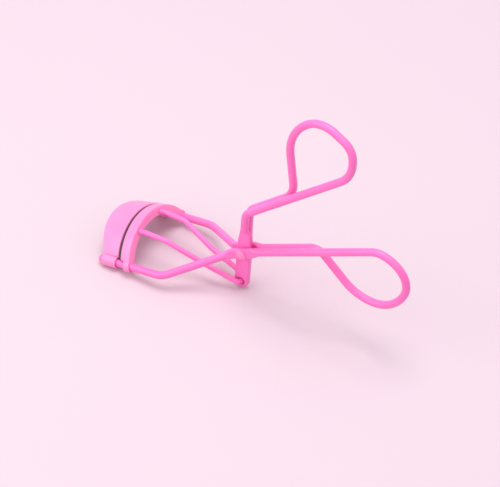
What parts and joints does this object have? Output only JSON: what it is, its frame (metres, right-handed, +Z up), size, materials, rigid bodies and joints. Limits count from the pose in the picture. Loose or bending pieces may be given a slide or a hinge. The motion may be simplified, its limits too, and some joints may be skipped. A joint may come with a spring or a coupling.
{
  "type": "eyelash curler",
  "caption": "Hand-held eyelash curler: bent-wire frame with finger loop, hinged thumb lever, fixed curved lash plate and sliding jaw with rubber pad.",
  "frame": {"origin": "on the table top under the middle of the curler's overall box, as it stands on its plate knuckles and the lever's lower end", "axes": "+X from the jaws towards the finger loops, +Y across the jaws, +Z up"},
  "size_m": [0.1162, 0.0352, 0.0841],
  "materials": {
    "powder_coat_wire": "satin gloss pink powder coat on steel wire",
    "powder_coat_sheet": "satin gloss pink powder coat on steel sheet",
    "pad_rubber": "matt dark silicone rubber"
  },
  "bodies": {
    "frame": {"frame": "powder_coat_wire", "lash_plate": "powder_coat_sheet", "pivot_rivet": "powder_coat_sheet"},
    "lever": {"thumb_lever": "powder_coat_wire"},
    "jaw": {"moving_jaw": "powder_coat_sheet", "lash_pad": "pad_rubber", "push_rod": "powder_coat_wire"}
  },
  "joints": [
    {"name": "lever_hinge", "type": "hinge", "parent": "frame", "child": "lever", "pos_m": [-0.00504, 0, 0.01684], "axis": [0, -1, 0], "range_deg": [0, 30]},
    {"name": "jaw_slide", "type": "slide", "parent": "frame", "child": "jaw", "axis": [0.9903, 0, 0.1392], "range_m": [0, 0.0071]}
  ],
  "couplings": [
    {"joint": "jaw_slide", "follows": "lever_hinge", "m_per_rad": 0.0135}
  ]
}
